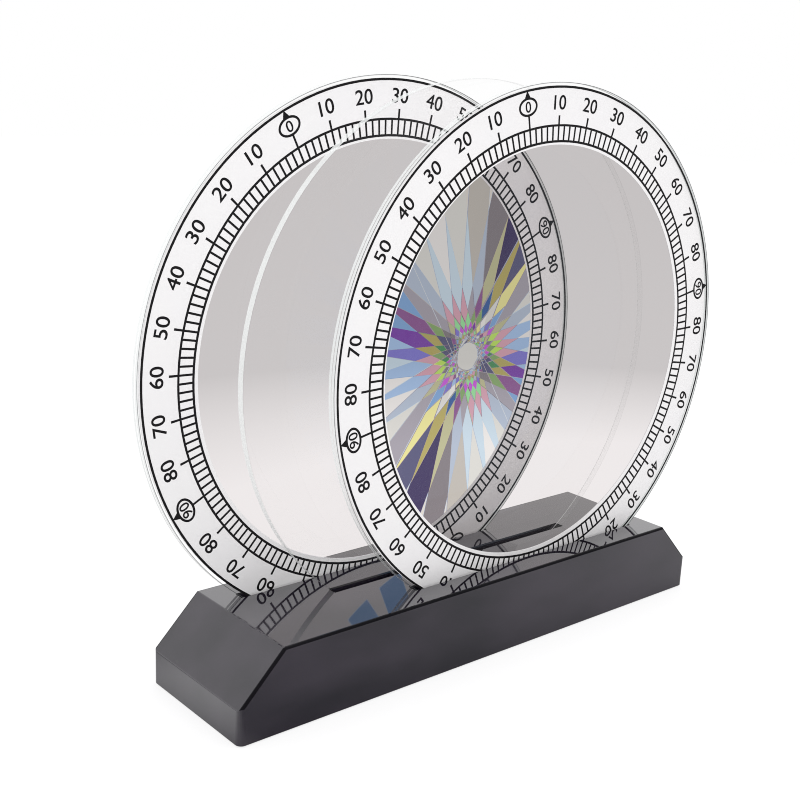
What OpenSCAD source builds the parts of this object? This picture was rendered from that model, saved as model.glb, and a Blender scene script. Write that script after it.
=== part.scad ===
// Polarization demonstrator: two graduated polarizer discs and a film sample disc, standing in a moulded base.
// X runs along the base, Y points to its rear, Z up. The origin is the middle of the base, on the table.

/* [Base] */
// Length of the base along X
base_length = 250; // [242:1:280]
// Depth of the base along Y
base_depth = 60; // [58:1:76]
// Height of the base's top face above the table
base_height = 33.5; // [32:0.5:38]
// Height of the upright part of each end
end_height = 14; // [11:0.5:18]
// How far each end slope runs in from the end
end_slope = 19; // [15:0.5:21]
// Wall thickness of the housing
wall = 3; // [2.5:0.1:3.4]
// Radius of the outer edges round the front and the rear face
edge_r = 1.2; // [0.8:0.1:2]
// Radius of the four upright corner edges
corner_r = 2.5; // [1:0.1:3]
// Thickness of the cover that closes the base from below
cover_t = 3; // [2.6:0.1:3.4]
// How far the rubber feet stand out under the cover
foot_stand = 0.6; // [0.4:0.1:1]

/* [Discs] */
// Diameter of each disc
disc_d = 218; // [206:1:224]
// Thickness of each disc
disc_t = 3; // [2.6:0.1:3.4]
// Depth to which a disc sinks into the base
disc_sink = 21.5; // [19:0.5:22]
// Distance between neighbouring discs along Y
disc_pitch = 16.5; // [15.5:0.5:18]
// Offset along X from one disc to the next
disc_stagger = 30; // [20:1:33]
// Place of the middle disc along X
middle_x = 2.5; // [-3:0.5:3]
// Gap between a disc and its slot, all round
slot_gap = 0.3; // [0.2:0.05:0.5]
// Turn of the rear scale's zero from the top, anticlockwise from the front
rear_turn = 27.75; // [-180:0.25:180]
// Turn of the front scale's zero from the top, anticlockwise from the front
front_turn = 11.5; // [-180:0.25:180]

/* [Polarizers] */
// Thickness of the polarizing film and of the white ring round it
film_t = 0.4; // [0.2:0.05:0.6]
// Distance from the rim of the disc in to the white ring
rim_w = 1.4; // [1:0.1:1.8]
// Radius of the clear window inside the white ring
window_r = 84.5; // [80:0.5:85]

/* [Scale] */
// Thickness of the printed ink
ink_t = 0.1; // [0.05:0.05:0.15]
// Width of the scale's lines
line_w = 0.7; // [0.5:0.05:0.9]
// Radial depth of the degree ladder
ladder_depth = 6.1; // [5:0.1:7]
// Degrees from one rung of the ladder to the next
rung_step = 2; // [1, 2, 5]
// How far the ten degree marks run out past the ladder
long_mark = 3.7; // [2:0.1:4.5]
// Radius of the middle of the quarter marks' rings
quarter_r = 101.2; // [100.8:0.1:101.4]

/* [Sample] */
// Radius of the round patch that the film strips cover
star_r = 92; // [84:1:94]
// Width of a film strip
strip_w = 11.6; // [9:0.1:14]
// Thickness of a film strip
strip_t = 0.06; // [0.04:0.01:0.08]
// Turn of the foremost film strip from upright, anticlockwise from the front
sample_turn = 133; // [-180:0.5:180]

/* [Cradles] */
// Thickness of a cradle's side walls
cradle_wall = 2; // [1.6:0.1:2.2]
// Thickness of a cradle's arc floor
cradle_floor = 2.5; // [2:0.1:3]
// Diameter of the screws' shanks
screw_d = 2.9; // [2.5:0.1:3]
// Length of the screws under the flush head
screw_l = 11; // [9:0.5:12]

/* [Hidden] */
$fn = 96;
fit_gap = 0.1;
cut = 1;
round_steps = 6;
disc_r = disc_d / 2;
disc_z = base_height + disc_r - disc_sink;
disc_fn = 360;
ceiling_z = base_height - wall;
cover_top = foot_stand + cover_t;

// Places of the rear and the front disc: centre along X, middle of the thickness along Y
rear_x = -disc_stagger;
rear_y = disc_pitch;
front_x = disc_stagger;
front_y = -disc_pitch;

// Pocket in which a disc turns
pocket_r = disc_r + slot_gap;
pocket_w = disc_t + 2 * slot_gap;
cradle_r = pocket_r + cradle_floor;
cradle_w = pocket_w + 2 * cradle_wall;
cradle_half = sqrt(pow(cradle_r, 2) - pow(disc_z - ceiling_z, 2));
slot_half = sqrt(pow(pocket_r, 2) - pow(disc_z - base_height, 2));
lip_w = 1.8;
lip_t = 2;
lead_in = 0.5;
keel_t = 2;

// Screws and bosses
boss_d = 8;
head_d = 5.8;
head_h = 1.7;
hole_d = screw_d + 2 * fit_gap;
hole_h = screw_l - cover_t + 2;
cradle_boss_x = 36;
corner_boss_x = base_length / 2 - 15;
corner_boss_y = base_depth / 2 - wall - boss_d / 2;

// Feet
foot_d = 12;
foot_recess = 1;
foot_x = base_length / 2 - 32;
foot_y = base_depth / 2 - 11;

// Polarizer layers
polarizer_plate_t = (disc_t - film_t) / 2;
ring_r = disc_r - rim_w;
line_r = ring_r - line_w / 2;
ladder_in = window_r + 2;
ladder_out = ladder_in + ladder_depth;
quarter_half_r = 3.5;
quarter_half_w = 4.9;
pointer_w = 3.4;
pointer_sink = 0.7;

// Sample layers
strip_count = 16;
star_t = strip_count * strip_t;
sample_plate_t = (disc_t - star_t) / 2;
spacer_in = star_r + 1;

// Ribs inside the housing
rib_t = 2;
rib_drop = 6;

function unit(v) = v / norm(v);

// Points of the arc that rounds corner b between its neighbours a and c with radius r
function corner_arc(a, b, c, r) =
    let (
        u = unit(a - b),
        v = unit(c - b),
        half = acos(u * v) / 2,
        centre = b + unit(u + v) * r / sin(half),
        from = b + u * r / tan(half) - centre,
        to = b + v * r / tan(half) - centre,
        start = atan2(from.y, from.x),
        turn = atan2(from.x * to.y - from.y * to.x, from * to)
    )
    [for (i = [0:round_steps]) centre + r * [cos(start + turn * i / round_steps), sin(start + turn * i / round_steps)]];

// Outline with every corner rounded
function rounded(points, r) =
    let (n = len(points))
    [for (i = [0:n - 1]) each corner_arc(points[(i + n - 1) % n], points[i], points[(i + 1) % n], r)];

// Front outline of the housing, shrunk by inset on the ends, slopes and top, from bottom up
function base_outline(inset, bottom) =
    let (
        end_x = base_length / 2 - inset,
        top_z = base_height - inset,
        rise = base_height - end_height,
        slope = norm([rise, end_slope]),
        reach = (rise * (base_length / 2) + end_slope * end_height) / slope - inset,
        knee_z = (reach * slope - rise * end_x) / end_slope,
        knee_x = (reach * slope - end_slope * top_z) / rise
    )
    [[-end_x, bottom], [end_x, bottom], [end_x, knee_z], [knee_x, top_z], [-knee_x, top_z], [-end_x, knee_z]];

// Ellipse round the origin with half axes a and b
function ellipse(a, b) = [for (i = [0:5:355]) [a * cos(i), b * sin(i)]];

// Upright slab: a front outline in X and Z, drawn round the middle of the base
module slab(depth) {
    rotate([90, 0, 0])
        linear_extrude(depth, center = true)
            children();
}

// Layer of a disc: a front outline, its front face at y, thickness t
module layer(x, y, t) {
    translate([x, y + t, disc_z])
        rotate([90, 0, 0])
            linear_extrude(t)
                children();
}

module annulus(outer, inner) {
    difference() {
        circle(outer, $fn = disc_fn);
        circle(inner, $fn = disc_fn);
    }
}

// Long block with its top face at Z 0 and its upper long edges rounded, for rounding the housing's edges
module edge_block(length) {
    deep = 2 * base_length;
    half = base_depth / 2;
    rotate([90, 0, 90])
        linear_extrude(length, center = true)
            polygon(rounded([[-half, -deep], [half, -deep], [half, 0], [-half, 0]], edge_r));
}

// Outer form of the housing
module base_form() {
    slope_turn = atan2(base_height - end_height, end_slope);
    half_length = base_length / 2;
    half_depth = base_depth / 2;
    intersection() {
        slab(base_depth)
            polygon(rounded(base_outline(0, -end_height), edge_r));
        translate([0, 0, foot_stand])
            linear_extrude(base_height)
                polygon(rounded([
                    [-half_length, -half_depth], [half_length, -half_depth],
                    [half_length, half_depth], [-half_length, half_depth]
                ], corner_r));
        translate([0, 0, base_height])
            edge_block(2 * base_length);
        slope_blocks(slope_turn);
    }
}

// What lies under both end slopes, with the slopes' long edges rounded
module slope_blocks(turn) {
    intersection() {
        translate([base_length / 2, 0, end_height])
            rotate([0, turn, 0])
                edge_block(4 * base_length);
        translate([-base_length / 2, 0, end_height])
            rotate([0, -turn, 0])
                edge_block(4 * base_length);
    }
}

// Space in which a disc turns, open to the top
module disc_pocket(x, y) {
    translate([x, y + pocket_w / 2, disc_z])
        rotate([90, 0, 0])
            cylinder(r = pocket_r, h = pocket_w, $fn = disc_fn);
}

// Chamfer along both long edges of a slot
module slot_lead_in(x, y) {
    side = (pocket_w / 2 + lead_in) * sqrt(2);
    translate([x, y, base_height])
        rotate([45, 0, 0])
            cube([2 * slot_half, side, side], center = true);
}

module at_corner_bosses() {
    for (sx = [-1, 1], sy = [-1, 1])
        translate([sx * corner_boss_x, sy * corner_boss_y, 0])
            children();
}

module at_cradle_bosses() {
    for (place = [[rear_x, rear_y], [middle_x, 0], [front_x, front_y]], sx = [-1, 1])
        translate([place.x + sx * cradle_boss_x, place.y, 0])
            children();
}

module at_feet() {
    for (sx = [-1, 1], sy = [-1, 1])
        translate([sx * foot_x, sy * foot_y, 0])
            children();
}

// Gloss black moulded shell, open below, with a slot for each disc
module base_housing() {
    color([0.13, 0.13, 0.14])
    difference() {
        base_form();
        difference() {
            slab(base_depth - 2 * wall)
                polygon(base_outline(wall, -end_height));
            at_corner_bosses()
                translate([0, 0, cover_top])
                    cylinder(d = boss_d, h = base_height);
            for (side = [-1, 1])
                translate([-base_length / 2, side * disc_pitch / 2 - rib_t / 2, ceiling_z - rib_drop])
                    cube([base_length, rib_t, base_height]);
        }
        at_corner_bosses()
            translate([0, 0, -cut])
                cylinder(d = hole_d, h = cover_top + hole_h + cut);
        disc_pocket(rear_x, rear_y);
        disc_pocket(middle_x, 0);
        disc_pocket(front_x, front_y);
        slot_lead_in(rear_x, rear_y);
        slot_lead_in(middle_x, 0);
        slot_lead_in(front_x, front_y);
    }
}

// Countersunk hole through the cover
module cover_hole() {
    translate([0, 0, foot_stand - cut])
        cylinder(d = hole_d, h = cover_t + 2 * cut);
    translate([0, 0, foot_stand])
        cylinder(d1 = head_d, d2 = screw_d, h = head_h);
}

// Cover inside the lower rim of the housing, recessed for the feet
module base_cover() {
    half_length = base_length / 2 - wall - fit_gap;
    half_depth = base_depth / 2 - wall - fit_gap;
    color([0.16, 0.16, 0.17])
    difference() {
        translate([0, 0, foot_stand])
            linear_extrude(cover_t)
                polygon(rounded([
                    [-half_length, -half_depth], [half_length, -half_depth],
                    [half_length, half_depth], [-half_length, half_depth]
                ], edge_r));
        at_corner_bosses() cover_hole();
        at_cradle_bosses() cover_hole();
        at_feet()
            translate([0, 0, foot_stand - cut])
                cylinder(d = foot_d + 2 * fit_gap, h = foot_recess + cut);
    }
}

// Trough with an arc floor on the disc's own centre, a lip under the ceiling and two screw bosses
module cradle(x, y) {
    lip_half = cradle_half + lip_w;
    color([0.2, 0.2, 0.21])
    translate([x, y, 0])
        difference() {
            union() {
                intersection() {
                    translate([0, cradle_w / 2, disc_z])
                        rotate([90, 0, 0])
                            cylinder(r = cradle_r, h = cradle_w, $fn = disc_fn);
                    translate([-disc_r, -cradle_w, cover_top])
                        cube([disc_d, 2 * cradle_w, ceiling_z - cover_top]);
                }
                translate([-lip_half, -cradle_w / 2 - lip_w, ceiling_z - lip_t])
                    cube([2 * lip_half, cradle_w + 2 * lip_w, lip_t]);
                for (sx = [-1, 1])
                    translate([sx * cradle_boss_x, 0, cover_top])
                        cylinder(d = boss_d, h = disc_z - sqrt(pow(pocket_r, 2) - pow(cradle_boss_x, 2)) - cover_top);
                translate([-cradle_boss_x, -keel_t / 2, cover_top + keel_t])
                    cube([2 * cradle_boss_x, keel_t, base_height - disc_sink - cover_top - keel_t]);
            }
            translate([0, pocket_w / 2, disc_z])
                rotate([90, 0, 0])
                    cylinder(r = pocket_r, h = pocket_w, $fn = disc_fn);
            for (sx = [-1, 1])
                translate([sx * cradle_boss_x, 0, cover_top - cut])
                    cylinder(d = hole_d, h = hole_h + cut);
        }
}

module rear_cradle() {
    cradle(rear_x, rear_y);
}

module middle_cradle() {
    cradle(middle_x, 0);
}

module front_cradle() {
    cradle(front_x, front_y);
}

// Countersunk screw, its head flush with the underside of the cover
module screw() {
    translate([0, 0, foot_stand])
        cylinder(d1 = head_d, d2 = screw_d, h = head_h);
    translate([0, 0, foot_stand])
        cylinder(d = screw_d, h = screw_l);
}

module cradle_screws() {
    color([0.7, 0.7, 0.72])
        at_cradle_bosses() screw();
}

module cover_screws() {
    color([0.7, 0.7, 0.72])
        at_corner_bosses() screw();
}

module rubber_feet() {
    color([0.08, 0.08, 0.08])
        at_feet()
            cylinder(d = foot_d, h = foot_stand + foot_recess);
}

// Clear round plate of a disc
module plate(x, y, t) {
    color([0.85, 0.88, 0.88, 0.35])
        layer(x, y, t)
            circle(disc_r, $fn = disc_fn);
}

module scale_ring(x, y) {
    color([0.95, 0.94, 0.94])
        layer(x, y - film_t / 2, film_t)
            annulus(ring_r, window_r);
}

module polarizer(x, y) {
    color([0.5, 0.5, 0.5, 0.5])
        layer(x, y - film_t / 2, film_t)
            circle(window_r, $fn = disc_fn);
}

// Straight mark across the scale, at an angle clockwise from zero
module mark(angle, inner, outer) {
    rotate(-angle)
        translate([-line_w / 2, inner])
            square([line_w, outer - inner]);
}

// Ringed mark at a quarter turn, with its pointer out to the line
module quarter_mark(angle) {
    mark(angle, ladder_in, quarter_r - quarter_half_r + line_w / 2);
    rotate(-angle)
        translate([0, quarter_r]) {
            difference() {
                polygon(ellipse(quarter_half_w, quarter_half_r));
                polygon(ellipse(quarter_half_w - line_w, quarter_half_r - line_w));
            }
            polygon([
                [-pointer_w / 2, quarter_half_r - pointer_sink],
                [pointer_w / 2, quarter_half_r - pointer_sink],
                [0, line_r - quarter_r]
            ]);
        }
}

// Ink of one scale, its zero turned anticlockwise from the top
module scale_marks(x, y, turn) {
    color([0.05, 0.05, 0.05])
        layer(x, y - disc_t / 2 - ink_t, ink_t)
            rotate(turn) {
                annulus(line_r + line_w / 2, line_r - line_w / 2);
                annulus(ladder_out + line_w / 2, ladder_out - line_w / 2);
                annulus(ladder_in + line_w / 2, ladder_in - line_w / 2);
                for (angle = [0:rung_step:359])
                    mark(angle, ladder_in, ladder_out);
                for (angle = [0:10:350])
                    if (angle % 90 != 0)
                        mark(angle, ladder_out, ladder_out + long_mark);
                for (angle = [0:90:270])
                    quarter_mark(angle);
            }
}

module rear_front_plate() {
    plate(rear_x, rear_y - disc_t / 2, polarizer_plate_t);
}

module rear_scale_ring() {
    scale_ring(rear_x, rear_y);
}

module rear_scale_marks() {
    scale_marks(rear_x, rear_y, rear_turn);
}

module rear_polarizer() {
    polarizer(rear_x, rear_y);
}

module rear_back_plate() {
    plate(rear_x, rear_y + film_t / 2, polarizer_plate_t);
}

module front_front_plate() {
    plate(front_x, front_y - disc_t / 2, polarizer_plate_t);
}

module front_scale_ring() {
    scale_ring(front_x, front_y);
}

module front_scale_marks() {
    scale_marks(front_x, front_y, front_turn);
}

module front_polarizer() {
    polarizer(front_x, front_y);
}

module front_back_plate() {
    plate(front_x, front_y + film_t / 2, polarizer_plate_t);
}

module sample_front_plate() {
    plate(middle_x, -disc_t / 2, sample_plate_t);
}

module sample_spacer() {
    color([0.85, 0.88, 0.88, 0.35])
        layer(middle_x, -star_t / 2, star_t)
            annulus(disc_r, spacer_in);
}

module sample_back_plate() {
    plate(middle_x, star_t / 2, sample_plate_t);
}

// Strip of clear film through the centre, each behind the one before and turned clockwise by an equal step
module film_strip(index) {
    color([0.9, 0.9, 0.85, 0.3])
        layer(middle_x, -star_t / 2 + index * strip_t, strip_t)
            intersection() {
                circle(star_r, $fn = disc_fn);
                rotate(sample_turn - index * 180 / strip_count)
                    square([strip_w, 3 * star_r], center = true);
            }
}

function strip_name(index) = str("film_strip_", index < 9 ? "0" : "", index + 1);

base_housing();
base_cover();
rear_cradle();
middle_cradle();
front_cradle();
cradle_screws();
cover_screws();
rubber_feet();
rear_front_plate();
rear_scale_ring();
rear_scale_marks();
rear_polarizer();
rear_back_plate();
front_front_plate();
front_scale_ring();
front_scale_marks();
front_polarizer();
front_back_plate();
sample_front_plate();
sample_spacer();
sample_back_plate();
for (index = [0:strip_count - 1])
    film_strip(index);
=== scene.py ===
import cmath
import math
import random

import bpy
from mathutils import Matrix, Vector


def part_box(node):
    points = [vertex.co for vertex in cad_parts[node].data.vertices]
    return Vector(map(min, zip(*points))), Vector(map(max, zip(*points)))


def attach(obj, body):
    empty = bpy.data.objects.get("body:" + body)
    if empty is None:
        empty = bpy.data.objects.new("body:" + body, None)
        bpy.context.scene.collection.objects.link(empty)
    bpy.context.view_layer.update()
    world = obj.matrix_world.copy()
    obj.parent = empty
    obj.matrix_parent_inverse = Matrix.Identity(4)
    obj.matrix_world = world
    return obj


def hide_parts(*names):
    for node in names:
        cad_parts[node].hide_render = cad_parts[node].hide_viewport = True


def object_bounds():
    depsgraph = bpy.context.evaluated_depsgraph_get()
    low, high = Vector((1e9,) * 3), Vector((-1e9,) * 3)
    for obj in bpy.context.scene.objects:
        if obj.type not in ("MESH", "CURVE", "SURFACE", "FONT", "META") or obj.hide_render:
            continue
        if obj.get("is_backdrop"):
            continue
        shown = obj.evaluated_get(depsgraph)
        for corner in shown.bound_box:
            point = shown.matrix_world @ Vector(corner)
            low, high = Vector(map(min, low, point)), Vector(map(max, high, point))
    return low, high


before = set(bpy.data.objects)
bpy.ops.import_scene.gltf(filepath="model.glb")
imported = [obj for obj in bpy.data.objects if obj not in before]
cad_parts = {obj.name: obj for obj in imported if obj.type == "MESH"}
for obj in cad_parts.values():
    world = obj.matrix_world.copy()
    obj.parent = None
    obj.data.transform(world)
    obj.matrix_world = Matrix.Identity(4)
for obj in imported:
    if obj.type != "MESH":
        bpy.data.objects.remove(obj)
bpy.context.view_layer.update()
mm = 0.001


# Housing: one injection moulding in gloss black plastic with sloped ends and three staggered slots
# in its top. The polished mould leaves it almost mirror-like, with a faint orange peel and fine dust.
# The rounded edge between its top and its sides, where it faces up, is painted shade: a near-black,
# rough copy of the finish that mirrors almost nothing.
def put(tree, kind, inputs=(), **options):
    """Adds a shader node. A socket among the inputs is linked, anything else is set on the input."""
    made = tree.nodes.new(kind)
    for name, value in options.items():
        setattr(made, name, value)
    for name, value in dict(inputs).items():
        if isinstance(value, bpy.types.NodeSocket):
            tree.links.new(value, made.inputs[name])
        else:
            made.inputs[name].default_value = value
    return made


def new_finish(name):
    """An empty node material, and its tree."""
    finish = bpy.data.materials.new(name)
    finish.use_nodes = True
    finish.node_tree.nodes.clear()
    return finish, finish.node_tree


def show(tree, shader):
    """Sends a shader to the material's output."""
    put(tree, "ShaderNodeOutputMaterial", {"Surface": shader})


def noise(tree, place, scale, detail=2.0, stretch=None):
    """Noise from 0 to 1 over the piece, with its grain per metre, drawn out along an axis by stretch."""
    if stretch:
        place = put(tree, "ShaderNodeMapping", {"Vector": place, "Scale": stretch}).outputs["Vector"]
    grain = {"Vector": place, "Scale": scale, "Detail": detail}
    return put(tree, "ShaderNodeTexNoise", grain).outputs["Fac"]


def spread(tree, value, low, high, to_low, to_high):
    """Maps a value from one range to another, held at the ends."""
    ranges = {"Value": value, "From Min": low, "From Max": high, "To Min": to_low, "To Max": to_high}
    return put(tree, "ShaderNodeMapRange", ranges).outputs["Result"]


def two_tones(tree, share, one, other):
    """A colour that goes from one tone to another with the share."""
    tones = {0: share, 6: (*one, 1), 7: (*other, 1)}
    return put(tree, "ShaderNodeMix", tones, data_type="RGBA").outputs[2]


def combine(tree, kind, one, other=0):
    """Two values combined by a sum or a product, or 1 where a comparison of them holds."""
    return put(tree, "ShaderNodeMath", {0: one, 1: other}, operation=kind).outputs["Value"]


def mix(tree, share, one, other):
    """A shader that goes from one shader to another with the share."""
    return put(tree, "ShaderNodeMixShader", {0: share, 1: one, 2: other}).outputs["Shader"]


def dress(finish, *names):
    """Gives CAD nodes a finish."""
    for name in names:
        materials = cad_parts[name].data.materials
        materials.clear()
        materials.append(finish)


edge_shade_strength = 0.85

gloss_black, tree = new_finish("gloss_black_plastic")
place = put(tree, "ShaderNodeTexCoord").outputs["Object"]
peel = noise(tree, place, 260, 1.0)
dust = noise(tree, place, 900, 6.0)
smear = noise(tree, place, 16, 3.0, (1, 2.5, 2.5))
haze = two_tones(tree, spread(tree, smear, 0.38, 0.66, 0, 1), (0.008, 0.0065, 0.013), (0.03, 0.024, 0.036))
black = put(tree, "ShaderNodeMix", {
    0: spread(tree, dust, 0.62, 0.8, 0, 1), 6: haze, 7: (0.05, 0.05, 0.055, 1),
}, data_type="RGBA").outputs[2]
polish = spread(tree, smear, 0.35, 0.7, 0.05, 0.11)
relief = put(tree, "ShaderNodeBump", {"Strength": 0.03, "Distance": 0.0002, "Height": peel})
gloss = put(tree, "ShaderNodeBsdfPrincipled", {
    "Base Color": black, "Roughness": polish, "IOR": 1.6, "Coat Weight": 1.0, "Coat Roughness": 0.03,
    "Coat IOR": 1.6, "Normal": relief.outputs["Normal"],
})
# The rounded edge is told by the way that it looks, off the slopes and the flat front, and upwards.
facing = put(tree, "ShaderNodeSeparateXYZ", {0: put(tree, "ShaderNodeNewGeometry").outputs["Normal"]})
sideways = combine(tree, "ABSOLUTE", facing.outputs["Y"])
off_slope = spread(tree, sideways, 0.04, 0.16, 0, 1)
off_front = spread(tree, sideways, 0.93, 0.99, 1, 0)
upwards = spread(tree, facing.outputs["Z"], 0.04, 0.12, 0, edge_shade_strength)
painted_edge_shade = combine(tree, "MULTIPLY", combine(tree, "MULTIPLY", off_slope, off_front), upwards)
# Painted shade for the rounded edge: near black, rough and with a low IOR, so it mirrors almost nothing.
dark_bsdf = put(tree, "ShaderNodeBsdfPrincipled", {
    "Base Color": (0.005, 0.005, 0.006, 1), "Roughness": 0.6, "IOR": 1.2,
})
show(tree, mix(tree, painted_edge_shade, gloss.outputs["BSDF"], dark_bsdf.outputs["BSDF"]))
dress(gloss_black, "base_housing")


# Cradles: three troughs with arc floors under the slots, moulded in plain black plastic with the
# fine eroded grain of parts that are out of sight, and screwed up through the cover.
grained_black, tree = new_finish("grained_black_plastic")
place = put(tree, "ShaderNodeTexCoord").outputs["Object"]
grain = noise(tree, place, 2600, 3.0)
black = two_tones(tree, grain, (0.012, 0.012, 0.013), (0.022, 0.022, 0.024))
relief = put(tree, "ShaderNodeBump", {"Strength": 0.25, "Distance": 0.0001, "Height": grain})
matt = put(tree, "ShaderNodeBsdfPrincipled", {
    "Base Color": black, "Roughness": 0.5, "IOR": 1.5, "Normal": relief.outputs["Normal"],
})
show(tree, matt.outputs["BSDF"])
dress(grained_black, "rear_cradle", "middle_cradle", "front_cradle", "base_cover")


# Screws: zinc plated steel, countersunk flush into the cover. Some hold the cradles, and the others
# hold the cover to the housing. Plating leaves them slightly cloudy.
zinc, tree = new_finish("zinc_plated_steel")
place = put(tree, "ShaderNodeTexCoord").outputs["Object"]
cloud = noise(tree, place, 900, 4.0)
steel = two_tones(tree, cloud, (0.5, 0.5, 0.51), (0.68, 0.68, 0.66))
metal = put(tree, "ShaderNodeBsdfPrincipled", {
    "Base Color": steel, "Metallic": 1.0, "Roughness": spread(tree, cloud, 0.3, 0.7, 0.22, 0.4),
})
show(tree, metal.outputs["BSDF"])
dress(zinc, "cradle_screws", "cover_screws")


# Feet: four round pads stamped from black rubber sheet and stuck into shallow recesses of the cover,
# with the dull, uneven skin of cut rubber.
rubber, tree = new_finish("stamped_rubber")
place = put(tree, "ShaderNodeTexCoord").outputs["Object"]
grain = noise(tree, place, 1800, 4.0)
black = two_tones(tree, grain, (0.012, 0.012, 0.012), (0.035, 0.034, 0.033))
relief = put(tree, "ShaderNodeBump", {"Strength": 0.4, "Distance": 0.0002, "Height": grain})
dark_bsdf = put(tree, "ShaderNodeBsdfPrincipled", {
    "Base Color": black, "Roughness": 0.85, "Normal": relief.outputs["Normal"],
})
show(tree, dark_bsdf.outputs["BSDF"])
dress(rubber, "rubber_feet")


# Plates: clear cast acrylic sheet cut by laser, two to each disc. Their flat faces mirror a little of
# the room, and the cut rims gather light and look pale. The thin lines along the sharp edges are
# painted: painted shade on the faces just inside the rim, and, on the rim seen from inside, a painted
# grey shade with a painted line, dark along both edges of the polarizer discs and a pale painted
# highlight along the back edge of the sample disc.
disc_radius = 109 * mm
disc_thickness = 3 * mm
rim_reach = 1 * mm
skin = 0.1 * mm
arris_width = 0.4 * mm
line_width = 0.4 * mm
rim_pallor = 0.75
acrylic_ior = 1.49
mirror_strength = 0.35


def from_axis(tree, place, x, z):
    """Distance from a disc's axis, which runs along Y."""
    centring = {"Vector": place, "Location": (-x, 0, -z), "Scale": (1, 0, 1)}
    centred = put(tree, "ShaderNodeMapping", centring).outputs["Vector"]
    return put(tree, "ShaderNodeVectorMath", {0: centred}, operation="LENGTH").outputs["Value"]


def clear_acrylic(name, centre, painted_arris_shade, inside_share, painted_edge_line, both_edges):
    """Finish of a disc's plates. The rim is told from the faces by the way that it looks."""
    finish, tree = new_finish(name)
    place = put(tree, "ShaderNodeTexCoord").outputs["Object"]
    shape = put(tree, "ShaderNodeNewGeometry")
    radius = from_axis(tree, place, centre.x, centre.z)
    facing = put(tree, "ShaderNodeSeparateXYZ", {0: shape.outputs["True Normal"]}).outputs["Y"]
    is_upright = combine(tree, "LESS_THAN", combine(tree, "ABSOLUTE", facing), 0.5)
    is_outer = combine(tree, "GREATER_THAN", radius, disc_radius - rim_reach)
    is_rim = combine(tree, "MULTIPLY", is_upright, is_outer)
    depth = put(tree, "ShaderNodeSeparateXYZ", {0: place}).outputs["Y"]
    off_front = combine(tree, "SUBTRACT", depth, centre.y)
    off_middle = combine(tree, "ABSOLUTE", off_front)
    is_outside = combine(tree, "GREATER_THAN", off_middle, disc_thickness / 2 - skin)
    entering = combine(tree, "SUBTRACT", 1, shape.outputs["Backfacing"])
    looked_at = combine(tree, "MULTIPLY", is_outside, entering)
    fresnel = put(tree, "ShaderNodeFresnel", {"IOR": acrylic_ior}).outputs["Fac"]
    mirror_share = combine(tree, "MULTIPLY", fresnel, combine(tree, "MULTIPLY", looked_at, mirror_strength))
    clear = put(tree, "ShaderNodeBsdfTransparent", {"Color": (1, 1, 1, 1)}).outputs["BSDF"]
    wipe = noise(tree, place, 60, 4.0, (1, 1, 3))
    mirror = put(tree, "ShaderNodeBsdfGlossy", {
        "Color": (1, 1, 1, 1), "Roughness": spread(tree, wipe, 0.4, 0.7, 0.0, 0.06),
    }).outputs["BSDF"]
    face = mix(tree, mirror_share, clear, mirror)
    # Painted shade: a thin dark band on the faces just inside the rim.
    arris_start = disc_radius - arris_width
    arris_share = spread(tree, radius, arris_start, arris_start + arris_width / 2, 0, painted_arris_shade)
    arris_share = combine(tree, "MULTIPLY", arris_share, looked_at)
    shade = put(tree, "ShaderNodeBsdfDiffuse", {"Color": (0.06, 0.065, 0.065, 1)}).outputs["BSDF"]
    face = mix(tree, arris_share, face, shade)
    saw = noise(tree, place, 3000, 2.0, (1, 0.02, 1))
    outside_colour = two_tones(tree, saw, (0.87, 0.91, 0.89), (0.94, 0.965, 0.95))
    # Seen from inside through the plate, the rim is painted a grey shade, with a painted line along its
    # edge: painted shade on the polarizer discs, a painted highlight on the sample disc.
    towards_edge = off_middle if both_edges else off_front
    line_start = disc_thickness / 2 - skin - line_width
    far_edge = spread(tree, towards_edge, line_start, line_start + line_width, 0, 1)
    inside_colour = two_tones(tree, far_edge, (0.62, 0.66, 0.64), painted_edge_line)
    sides = {0: entering, 6: inside_colour, 7: outside_colour}
    edge_colour = put(tree, "ShaderNodeMix", sides, data_type="RGBA").outputs[2]
    edge = put(tree, "ShaderNodeBsdfPrincipled", {"Base Color": edge_colour, "Roughness": 0.25})
    inner_share = spread(tree, far_edge, 0, 1, inside_share, rim_pallor)
    shares = {0: entering, 2: inner_share, 3: rim_pallor}
    rim_share = put(tree, "ShaderNodeMix", shares, data_type="FLOAT").outputs[0]
    rim = mix(tree, rim_share, clear, edge.outputs["BSDF"])
    show(tree, mix(tree, is_rim, face, rim))
    return finish


def middle_of(node):
    """Middle of a CAD node's box."""
    low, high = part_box(node)
    return (low + high) / 2


rear_centre = middle_of("rear_polarizer")
front_centre = middle_of("front_polarizer")
sample_centre = middle_of("sample_spacer")
polarizer_rim = {
    "painted_arris_shade": 0.7, "inside_share": 0.75, "painted_edge_line": (0.10, 0.11, 0.11), "both_edges": True,
}
sample_rim = {
    "painted_arris_shade": 0.1, "inside_share": 0.08, "painted_edge_line": (0.97, 0.98, 0.97), "both_edges": False,
}
for side, centre in (("rear", rear_centre), ("front", front_centre)):
    acrylic = clear_acrylic(side + "_acrylic", centre, **polarizer_rim)
    dress(acrylic, side + "_front_plate", side + "_back_plate")
acrylic = clear_acrylic("sample_acrylic", sample_centre, **sample_rim)
dress(acrylic, "sample_front_plate", "sample_back_plate", "sample_spacer")


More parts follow.
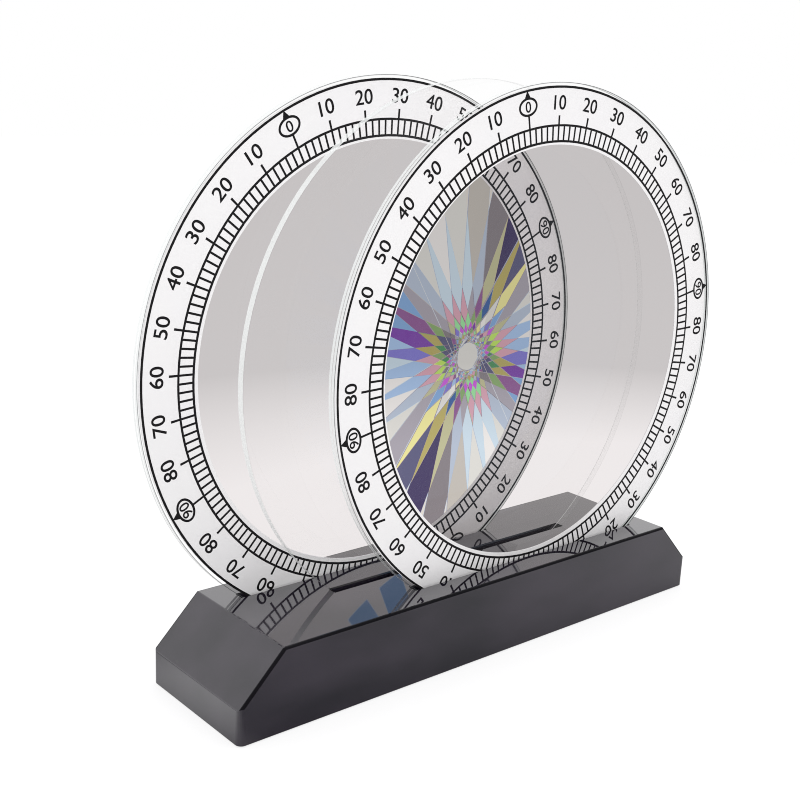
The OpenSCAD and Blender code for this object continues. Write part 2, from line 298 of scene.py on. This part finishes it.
# Star: sixteen strips of clear adhesive film laid across each other through the middle of the sample
# disc, each turned by an equal step. Every strip turns the light's polarization, so the polarizers
# show each overlap in its own colour. Here the number of thin layers in it tells the film which one.
round_sides = 360
strip_count = 16
strip_width = 11.6 * mm
first_turn = 133.4
star_radius = 92 * mm
star_thickness = 0.88 * mm
star_shift = (0.8 * mm, -0.8 * mm)
hand_drift = 0.7
drift_start = 0.8
hand_slip = 0.3 * mm
strip_retardance = 340
slant_retardance = 30
plate_retardance = 70
plate_axis = 172
rear_axis = 101.3
front_axis = 119.5
unpolarized_share = 0.045
polarized_share = (1.04, 1.09, 1.09)
wavelengths = ((595, 610, 625), (530, 545, 560), (440, 455, 470))
# Painted light on the strips' cut edges: a thin line along each edge, mixed towards white as a painted
# highlight on some and towards dark as painted shade on others.
glint_width = 0.22 * mm
glint_range = (-0.35, 0.6)
bright_glint = 1.0
dark_glint = 0.1
shade_count = 24
shade_steps = 12
hub_colour = (0.73, 0.80, 0.73)
layer_share = 0.4
veil_middle = 0.14
veil_reach = 60 * mm
strip_dice = random.Random(12)

strips = []
for index in range(strip_count):
    drift = hand_drift * math.sin(2 * math.pi * (index - drift_start) / strip_count)
    across = math.radians(first_turn - index * 180 / strip_count - drift)
    strips.append({
        "across": across,
        "offset": star_shift[0] * math.cos(across) + star_shift[1] * math.sin(across)
        + strip_dice.uniform(-hand_slip, hand_slip),
        "glints": (strip_dice.uniform(*glint_range), strip_dice.uniform(*glint_range)),
    })


def turned_light(field, along, length, retardance):
    """Light's two parts after a strip of film that lies along a direction."""
    c, s = math.cos(along), math.sin(along)
    slow = (field[0] * c + field[1] * s) * cmath.exp(2j * math.pi * retardance / length)
    fast = field[1] * c - field[0] * s
    return slow * c - fast * s, slow * s + fast * c


def pointing(degrees):
    """The two parts of a direction in the plane of the discs."""
    return math.cos(math.radians(degrees)), math.sin(math.radians(degrees))


def overlap_colour(covering):
    """Red, green and blue that pass the covering strips between the two polarizers."""
    out = pointing(front_axis)
    colour = []
    for lengths, share in zip(wavelengths, polarized_share):
        passed = 0
        for length in lengths:
            field = turned_light(pointing(rear_axis), math.radians(plate_axis), length, plate_retardance)
            for index in sorted(covering):
                along = strips[index]["across"] + math.pi / 2
                seen_aslant = strip_retardance + slant_retardance * math.cos(2 * along)
                field = turned_light(field, along, length, seen_aslant)
            passed += abs(field[0] * out[0] + field[1] * out[1]) ** 2 / len(lengths)
        colour.append(min(unpolarized_share + share * passed, 1))
    return colour


def unlikeness(one, other):
    """How far two colours are apart, with dark ones weighed as the eye does."""
    return sum((math.sqrt(a) - math.sqrt(b)) ** 2 for a, b in zip(one, other))


def few_shades(areas, count):
    """Sorts many colours, each with its area, into a few shades, the one of the largest area first."""
    shades = [max(areas, key=areas.get)]
    while len(shades) < count:
        shades.append(max(areas, key=lambda colour: math.sqrt(areas[colour])
                          * min(unlikeness(colour, shade) for shade in shades)))
    for attempt in range(shade_steps):
        groups = [[] for shade in shades]
        for colour in areas:
            nearest = min(range(count), key=lambda n: unlikeness(colour, shades[n]))
            groups[nearest].append(colour)
        for n, group in enumerate(groups):
            whole = sum(areas[colour] for colour in group)
            if whole:
                parts = [sum(colour[k] * areas[colour] for colour in group) for k in range(3)]
                shades[n] = tuple(part / whole for part in parts)
    order = sorted(range(count), key=lambda n: -sum(areas[colour] for colour in groups[n]))
    number = {colour: rank for rank, n in enumerate(order, 1) for colour in groups[n]}
    return [shades[n] for n in order], number


def deselect():
    """Nothing stays selected, in object mode."""
    bpy.ops.object.select_all(action="DESELECT")


def fix_in_place(piece):
    """Puts the piece's place into its mesh."""
    deselect()
    piece.select_set(True)
    bpy.context.view_layer.objects.active = piece
    bpy.ops.object.transform_apply(location=True, rotation=True, scale=True)


def stand_up(piece, centre):
    """Turns a flat piece drawn in X and Y to face the front, with its middle at centre."""
    piece.rotation_euler = (math.pi / 2, 0, 0)
    piece.location = centre
    fix_in_place(piece)


def apply_modifier(piece, kind, **settings):
    """Adds a modifier and applies it."""
    deselect()
    piece.select_set(True)
    bpy.context.view_layer.objects.active = piece
    modifier = piece.modifiers.new("finishing", kind)
    for name, value in settings.items():
        setattr(modifier, name, value)
    bpy.ops.object.modifier_apply(modifier=modifier.name)


def cover(piece, finish, body, slot, *nodes):
    """Gives a piece its finish and its body, and hides the CAD nodes that it stands for. Its slot is not
    used.
    """
    piece.data.materials.clear()
    piece.data.materials.append(finish)
    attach(piece, body)
    if nodes:
        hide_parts(*nodes)


deselect()
bpy.ops.mesh.primitive_circle_add(vertices=round_sides, radius=star_radius, fill_type="NGON")
flat_star = bpy.context.object
bpy.ops.object.mode_set(mode="EDIT")
for strip in strips:
    normal = (math.cos(strip["across"]), math.sin(strip["across"]), 0)
    for side in (-1, 1):
        for inset in (0, glint_width):
            edge = strip["offset"] + side * (strip_width / 2 - inset)
            bpy.ops.mesh.select_all(action="SELECT")
            bpy.ops.mesh.bisect(plane_co=(normal[0] * edge, normal[1] * edge, 0), plane_no=normal)
bpy.ops.mesh.select_mode(type="FACE")
bpy.ops.mesh.select_all(action="DESELECT")
bpy.ops.object.mode_set(mode="OBJECT")

known = {}
cell_colours = []
areas = {}
for face in flat_star.data.polygons:
    covering = []
    glint = 0
    for index, strip in enumerate(strips):
        off = (face.center.x * math.cos(strip["across"]) + face.center.y * math.sin(strip["across"])
               - strip["offset"])
        if abs(off) < strip_width / 2:
            covering.append(index)
            if abs(off) > strip_width / 2 - glint_width:
                glint = strip["glints"][0 if off > 0 else 1]
    if not covering:
        cell_colours.append(None)
        continue
    key = tuple(covering)
    if key not in known:
        known[key] = hub_colour if len(covering) == strip_count else overlap_colour(covering)
    target = bright_glint if glint > 0 else dark_glint
    colour = tuple(round(part + (target - part) * abs(glint), 3) for part in known[key])
    cell_colours.append(colour)
    areas[colour] = areas.get(colour, 0) + face.area
star_shades, shade_number = few_shades(areas, shade_count)

heights = [0 if colour is None else shade_number[colour] for colour in cell_colours]
flat_star.data.color_attributes.new("overlap", "FLOAT_COLOR", "CORNER")
flat_star.data.attributes.new("veil", "FLOAT", "CORNER")
tint = flat_star.data.attributes["overlap"]
veil = flat_star.data.attributes["veil"]
for face, height in zip(flat_star.data.polygons, heights):
    for corner, point in zip(face.loop_indices, face.vertices):
        tint.data[corner].color = (*star_shades[max(height, 1) - 1], 1)
        out = flat_star.data.vertices[point].co.length / veil_reach
        veil.data[corner].value = veil_middle * max(1 - out, 0)
layer_step = star_thickness / shade_count
layers = []
for height in range(1, shade_count + 1):
    layer = flat_star.copy()
    layer.data = flat_star.data.copy()
    bpy.context.scene.collection.objects.link(layer)
    if height > 1:
        for share in layer.data.attributes["veil"].data:
            share.value = 0
    deselect()
    layer.select_set(True)
    bpy.context.view_layer.objects.active = layer
    for face, own_height in zip(layer.data.polygons, heights):
        face.select = own_height < height
    bpy.ops.object.mode_set(mode="EDIT")
    bpy.ops.mesh.delete(type="FACE")
    bpy.ops.object.mode_set(mode="OBJECT")
    apply_modifier(layer, "SOLIDIFY", thickness=layer_step * layer_share, offset=0)
    layer.location.z = (height - (shade_count + 1) / 2) * layer_step
    fix_in_place(layer)
    layers.append(layer)
bpy.data.objects.remove(flat_star)
deselect()
for layer in layers:
    layer.select_set(True)
bpy.context.view_layer.objects.active = layers[0]
bpy.ops.object.join()
star = layers[0]
star.name = "film_star"
bpy.ops.object.mode_set(mode="EDIT")
bpy.ops.mesh.select_mode(type="VERT")
bpy.ops.object.mode_set(mode="OBJECT")

# Sight that has met a polarizer or a mirror counts one more passage at each layer. Without one the
# star is clear, apart from a pale veil where all the strips lie on each other.
film_star, tree = new_finish("clear_strip_film")
light = put(tree, "ShaderNodeLightPath")
entering = combine(tree, "SUBTRACT", 1, put(tree, "ShaderNodeNewGeometry").outputs["Backfacing"])
indirect = combine(tree, "MAXIMUM", light.outputs["Is Shadow Ray"], light.outputs["Diffuse Depth"])
seen = combine(tree, "MULTIPLY", entering, combine(tree, "LESS_THAN", indirect, 0.5))
polarizers = combine(tree, "ADD", light.outputs["Transmission Depth"], light.outputs["Glossy Depth"])
polarized = combine(tree, "GREATER_THAN", polarizers, 0.5)
overlap = put(tree, "ShaderNodeAttribute", attribute_name="overlap").outputs["Color"]
veil_share = put(tree, "ShaderNodeAttribute", attribute_name="veil").outputs["Fac"]
clear = put(tree, "ShaderNodeBsdfTransparent", {"Color": (1, 1, 1, 1)}).outputs["BSDF"]
counted = put(tree, "ShaderNodeBsdfRefraction", {"Color": (1, 1, 1, 1), "Roughness": 0.0, "IOR": 1.0})
pale = put(tree, "ShaderNodeBsdfDiffuse", {"Color": overlap}).outputs["BSDF"]
plain = mix(tree, veil_share, clear, pale)
show(tree, mix(tree, seen, clear, mix(tree, polarized, plain, counted.outputs["BSDF"])))
stand_up(star, sample_centre)
strip_nodes = ["film_strip_%02d" % (index + 1) for index in range(strip_count)]
cover(star, film_star, "sample_disc", "clear_film", *strip_nodes)


# White rings: opaque white film laid between a polarizer disc's plates as the ground of its scale,
# with a faint mottle of the film and of the glue that holds it.
ring_outside = 107.6 * mm
window_radius = 85.1 * mm
window_slip = {"rear": 1.3 * mm, "front": 0.8 * mm}
ring_thickness = 0.34 * mm

white_film, tree = new_finish("white_film")
place = put(tree, "ShaderNodeTexCoord").outputs["Object"]
mottle = noise(tree, place, 35, 3.0)
fibre = noise(tree, place, 1400, 2.0)
white = two_tones(tree, mottle, (0.94, 0.93, 0.935), (0.95, 0.945, 0.93))
relief = put(tree, "ShaderNodeBump", {"Strength": 0.05, "Distance": 0.0001, "Height": fibre})
paper = put(tree, "ShaderNodeBsdfPrincipled", {
    "Base Color": white, "Roughness": 0.45, "Normal": relief.outputs["Normal"],
})
show(tree, paper.outputs["BSDF"])

for side, centre in (("rear", rear_centre), ("front", front_centre)):
    deselect()
    bpy.ops.mesh.primitive_circle_add(vertices=round_sides, radius=ring_outside)
    ring = bpy.context.object
    ring.name = side + "_ring"
    bpy.ops.object.mode_set(mode="EDIT")
    bpy.ops.mesh.select_all(action="SELECT")
    bpy.ops.mesh.extrude_edges_move()
    inner = window_radius / ring_outside
    bpy.ops.transform.resize(value=(inner, inner, inner))
    bpy.ops.transform.translate(value=(window_slip[side], 0, 0))
    bpy.ops.mesh.select_all(action="SELECT")
    bpy.ops.mesh.normals_make_consistent(inside=False)
    bpy.ops.object.mode_set(mode="OBJECT")
    apply_modifier(ring, "SOLIDIFY", thickness=ring_thickness, offset=0)
    stand_up(ring, centre)
    cover(ring, white_film, side + "_disc", "white_ring", side + "_scale_ring")


# Scales: black screen print on the front face of each polarizer disc, its lines spread a little as
# ink does, with numbers every ten degrees, tops outwards, from 0 to 90 and back.
number_tall = 5.6 * mm
ringed_tall = 4.2 * mm
number_radius = 101.3 * mm
ringed_radius = 101.2 * mm
ink_gap = 0.01 * mm
ink_depth = 0.08 * mm
number_widening = 1.1
number_boldness = 0.01
number_weld = 0.0005
line_boldness = 0.11 * mm
line_weld = 0.002 * mm
scale_step = 10
zero_turn = {"rear": 27.75, "front": 11.5}

screen_ink, tree = new_finish("screen_ink")
place = put(tree, "ShaderNodeTexCoord").outputs["Object"]
screen_grain = noise(tree, place, 1500, 3.0)
black = two_tones(tree, screen_grain, (0.006, 0.006, 0.007), (0.016, 0.015, 0.016))
print_ink = put(tree, "ShaderNodeBsdfPrincipled", {
    "Base Color": black, "Roughness": spread(tree, screen_grain, 0.3, 0.7, 0.35, 0.55),
    "Specular IOR Level": 0.15,
})
light = put(tree, "ShaderNodeLightPath")
unseen = combine(tree, "MAXIMUM", light.outputs["Is Shadow Ray"], light.outputs["Is Diffuse Ray"])
clear = put(tree, "ShaderNodeBsdfTransparent", {"Color": (1, 1, 1, 1)}).outputs["BSDF"]
show(tree, mix(tree, unseen, print_ink.outputs["BSDF"], clear))


def number(text, tall):
    """One number of the scale as a thin slab, its middle at the origin."""
    deselect()
    bpy.ops.object.text_add()
    made = bpy.context.object
    made.data.body = text
    made.data.extrude = 0.5
    made.data.resolution_u = 6
    bpy.ops.object.convert(target="MESH")
    bpy.ops.object.mode_set(mode="EDIT")
    bpy.ops.mesh.select_all(action="SELECT")
    bpy.ops.mesh.remove_doubles(threshold=number_weld)
    bpy.ops.transform.shrink_fatten(value=number_boldness, use_even_offset=True)
    bpy.ops.object.mode_set(mode="OBJECT")
    bpy.ops.object.origin_set(type="ORIGIN_GEOMETRY", center="BOUNDS")
    scale = tall / made.dimensions.y
    made.scale = (scale * number_widening, scale, ink_depth / made.dimensions.z)
    made.location = (0, 0, 0)
    fix_in_place(made)
    return made


for side in ("rear", "front"):
    deselect()
    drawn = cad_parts[side + "_scale_marks"].data.copy()
    lines = bpy.data.objects.new(side + "_scale_lines", drawn)
    bpy.context.scene.collection.objects.link(lines)
    lines.select_set(True)
    bpy.context.view_layer.objects.active = lines
    bpy.ops.object.mode_set(mode="EDIT")
    bpy.ops.mesh.select_all(action="SELECT")
    bpy.ops.mesh.remove_doubles(threshold=line_weld)
    bpy.ops.transform.shrink_fatten(value=line_boldness, use_even_offset=True)
    bpy.ops.object.mode_set(mode="OBJECT")
    low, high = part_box(side + "_scale_marks")
    for point in lines.data.vertices:
        point.co.y = low.y if point.co.y < (low.y + high.y) / 2 else high.y
    cover(lines, screen_ink, side + "_disc", "scale_ink", side + "_scale_marks")

for side, centre in (("rear", rear_centre), ("front", front_centre)):
    printed = []
    for angle in range(0, 360, scale_step):
        value = min(angle % 180, 180 - angle % 180)
        ringed = angle % 90 == 0
        made = number(str(value), ringed_tall if ringed else number_tall)
        radius = ringed_radius if ringed else number_radius
        turn = math.radians(zero_turn[side] - angle)
        made.rotation_euler = (0, 0, turn)
        made.location = (-radius * math.sin(turn), radius * math.cos(turn), 0)
        fix_in_place(made)
        printed.append(made)
    deselect()
    for made in printed:
        made.select_set(True)
    bpy.context.view_layer.objects.active = printed[0]
    bpy.ops.object.join()
    numbers = printed[0]
    numbers.name = side + "_scale_numbers"
    face = centre.y - disc_thickness / 2 - ink_gap - ink_depth / 2
    stand_up(numbers, (centre.x, face, centre.z))
    cover(numbers, screen_ink, side + "_disc", "scale_ink")


# Polarizers: neutral polarizing film laid inside each white ring. One alone dims what is seen through
# it, and the second gives each overlap of the star between them its colour, by the layers passed.
# The polished top of the base polarizes light as well, so the star mirrored in it shows in blues.
film_thickness = 0.32 * mm
film_radius = 85.06 * mm
one_film = (0.683, 0.655, 0.652)
two_films = (0.89, 0.865, 0.80)
mirrored_dark = (0.23, 0.37, 0.60)
mirrored_light = (0.60, 0.72, 0.88)

polarizing, tree = new_finish("polarizing_film")
entering = combine(tree, "SUBTRACT", 1, put(tree, "ShaderNodeNewGeometry").outputs["Backfacing"])
light = put(tree, "ShaderNodeLightPath")
indirect = combine(tree, "MAXIMUM", light.outputs["Is Shadow Ray"], light.outputs["Diffuse Depth"])
seen = combine(tree, "MULTIPLY", entering, combine(tree, "LESS_THAN", indirect, 0.5))
clear = put(tree, "ShaderNodeBsdfTransparent", {"Color": (1, 1, 1, 1)}).outputs["BSDF"]
passed = light.outputs["Transmission Depth"]
plain_tone = two_tones(tree, combine(tree, "GREATER_THAN", passed, 0.5), one_film, two_films)
mirrored = combine(tree, "GREATER_THAN", light.outputs["Glossy Depth"], 0.5)
before_star = combine(tree, "SUBTRACT", 1.5, mirrored)
step = combine(tree, "DIVIDE", combine(tree, "SUBTRACT", passed, before_star), shade_count)
ramp = put(tree, "ShaderNodeValToRGB", {"Fac": step})
ramp.color_ramp.interpolation = "CONSTANT"
stops = ramp.color_ramp.elements
stops[0].color = (*star_shades[0], 1)
stops[1].position = 1 / shade_count
stops[1].color = (*star_shades[1], 1)
for n in range(2, shade_count):
    stops.new(n / shade_count).color = (*star_shades[n], 1)
star_tone = ramp.outputs["Color"]
lightness = put(tree, "ShaderNodeRGBToBW", {"Color": star_tone}).outputs["Val"]
blues = two_tones(tree, spread(tree, lightness, 0.1, 0.6, 0, 1), mirrored_dark, mirrored_light)
star_tone = put(tree, "ShaderNodeMix", {0: mirrored, 6: star_tone, 7: blues}, data_type="RGBA").outputs[2]
past_star = combine(tree, "GREATER_THAN", passed, before_star)
tone = put(tree, "ShaderNodeMix", {0: past_star, 6: plain_tone, 7: star_tone}, data_type="RGBA").outputs[2]
dimmed = put(tree, "ShaderNodeBsdfRefraction", {"Color": tone, "Roughness": 0.0, "IOR": 1.0})
show(tree, mix(tree, seen, clear, dimmed.outputs["BSDF"]))

for side, centre in (("rear", rear_centre), ("front", front_centre)):
    deselect()
    bpy.ops.mesh.primitive_circle_add(vertices=round_sides, radius=film_radius, fill_type="NGON")
    film = bpy.context.object
    film.name = side + "_polarizing_film"
    apply_modifier(film, "SOLIDIFY", thickness=film_thickness, offset=0)
    stand_up(film, (centre.x + window_slip[side], centre.y, centre.z))
    cover(film, polarizing, side + "_disc", "polarizing_film", side + "_polarizer")


# Studio: a pale table that runs into a grey wall some way behind, both overexposed to white for the
# camera, with a soft lamp on each side. The table keeps the object's shadow, and what the polished
# base mirrors of the room is mostly dim.
floor_size = 6.0
table_reach = 0.28
wall_start = 0.50
table_middle = (0.1, -0.07, 0)
table_tone = 1.25
wall_tone = 0.84
table_glow = 0.72
table_white = 0.36
soft_white = 0.3
mirrored_white = 0.8
soft_light = 0.27
left_sheen = 0.2
right_sheen = 0.46
back_sheen = 0.4
pool_middle = (-0.168, 0.0, 0)
pool_reach = 0.065
pool_sheen = 0.85
room_light = 0.86
dim_way = (-0.3, -0.75, 0.59)
dimmest = 0.05
back_corner = (-0.28, 0.75, 0.60)
back_shade = -0.27


def own_light(tree, strength):
    """White light that a surface gives by itself."""
    glow = {"Color": (1, 1, 1, 1), "Strength": strength}
    return put(tree, "ShaderNodeEmission", glow).outputs["Emission"]


def matt_grey(tree, tone):
    """A matt surface of an even grey."""
    return put(tree, "ShaderNodeBsdfDiffuse", {"Color": (tone, tone, tone, 1)}).outputs["BSDF"]


def both(tree, one, other):
    """Two shaders added together."""
    return put(tree, "ShaderNodeAddShader", {0: one, 1: other}).outputs["Shader"]


def measure(tree, kind, one, other):
    """Distance or dot product of two vectors."""
    return put(tree, "ShaderNodeVectorMath", {0: one, 1: other}, operation=kind).outputs["Value"]


deselect()
bpy.ops.mesh.primitive_plane_add(size=floor_size)
floor = bpy.context.object
floor.name = "table"
table_top, tree = new_finish("white_table")
light = put(tree, "ShaderNodeLightPath")
place = put(tree, "ShaderNodeTexCoord").outputs["Object"]
radius = measure(tree, "DISTANCE", place, table_middle)
tone = spread(tree, radius, table_reach, wall_start, table_tone, wall_tone)
direct = both(tree, own_light(tree, table_glow), matt_grey(tree, table_white))
soft = matt_grey(tree, soft_white)
through = both(tree, own_light(tree, combine(tree, "SUBTRACT", tone, soft_light)), soft)
# Seen only in reflections, the table shows painted light: a sheen that grows towards the right in front and
# stays even behind, and a painted pool of light at the base's left end.
ground = put(tree, "ShaderNodeSeparateXYZ", {0: place})
to_right = spread(tree, ground.outputs["X"], -0.1, 0.2, left_sheen, right_sheen)
in_front = spread(tree, ground.outputs["Y"], -0.03, 0.03, 1, 0)
sheens = {0: in_front, 2: back_sheen, 3: to_right}
sheen = put(tree, "ShaderNodeMix", sheens, data_type="FLOAT").outputs[0]
pool = spread(tree, measure(tree, "DISTANCE", place, pool_middle), 0, pool_reach, pool_sheen, 0)
sheen = combine(tree, "SUBTRACT", combine(tree, "ADD", sheen, pool), soft_light)
sheeny = both(tree, own_light(tree, sheen), soft)
shown = mix(tree, light.outputs["Is Glossy Ray"], matt_grey(tree, mirrored_white), sheeny)
shown = mix(tree, light.outputs["Is Transmission Ray"], shown, through)
show(tree, mix(tree, light.outputs["Is Camera Ray"], shown, direct))
floor.data.materials.append(table_top)
floor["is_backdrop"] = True

world = bpy.data.worlds.new("studio")
world.use_nodes = True
bpy.context.scene.world = world
tree = world.node_tree
tree.nodes.clear()


def wall(colour, strength):
    """Light of the room's walls."""
    glow = {"Color": (*colour, 1), "Strength": strength}
    return put(tree, "ShaderNodeBackground", glow).outputs["Background"]


light = put(tree, "ShaderNodeLightPath")
direction = put(tree, "ShaderNodeTexCoord").outputs["Generated"]
side_tone = spread(tree, measure(tree, "DOT_PRODUCT", direction, dim_way), 0.0, 0.35, 1.0, dimmest)
back_tone = spread(tree, measure(tree, "DOT_PRODUCT", direction, back_corner), 0.8, 0.98, 0, back_shade)
mirrored_wall = wall((1, 0.995, 1), combine(tree, "ADD", side_tone, back_tone))
room = mix(tree, light.outputs["Is Glossy Ray"], wall((0.99, 0.98, 1), room_light), mirrored_wall)
room = mix(tree, light.outputs["Is Transmission Ray"], room, wall((1, 0.995, 1), wall_tone))
room = mix(tree, light.outputs["Is Camera Ray"], room, wall((1, 1, 1), 1.0))
put(tree, "ShaderNodeOutputWorld", {"Surface": room})


def soft_lamp(name, place, aim, size, power):
    """A square soft box that faces the object."""
    lamp = bpy.data.lights.new(name, "AREA")
    lamp.size = size
    lamp.energy = power
    holder = bpy.data.objects.new(name, lamp)
    bpy.context.scene.collection.objects.link(holder)
    holder.location = place
    offset = [there - here for there, here in zip(aim, place)]
    across = math.hypot(offset[0], offset[1])
    holder.rotation_euler = (math.atan2(across, -offset[2]), 0, math.atan2(-offset[0], offset[1]))
    holder.visible_glossy = False


soft_lamp("left_soft_box", (-0.9, -0.7, 0.9), (0, 0, 0.1), 0.6, 4.5)
soft_lamp("right_soft_box", (0.9, -0.6, 0.8), (0, 0, 0.1), 0.6, 2.0)


# Camera: where the photograph was taken from, close to the object and a little above it. Sight passes
# the star's many layers more than once, so the bounces are many.
sensor_width = 36
focal_length = 55.6

camera_data = bpy.data.cameras.new("camera")
camera_data.sensor_width = sensor_width
camera_data.lens = focal_length
camera = bpy.data.objects.new("camera", camera_data)
bpy.context.scene.collection.objects.link(camera)
camera.location = (-0.3386, -0.3539, 0.2326)
camera.rotation_euler = (math.radians(74.931), math.radians(-2.545), math.radians(-40.205))
bpy.context.scene.camera = camera
bpy.context.scene.view_settings.view_transform = "Standard"
bpy.context.scene.cycles.transparent_max_bounces = 128
bpy.context.scene.cycles.transmission_bounces = 32
bpy.context.scene.cycles.max_bounces = 48
bpy.context.scene.cycles.min_light_bounces = 32
bpy.context.scene.cycles.min_transparent_bounces = 128
bpy.context.scene.cycles.filter_width = 1.0

low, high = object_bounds()
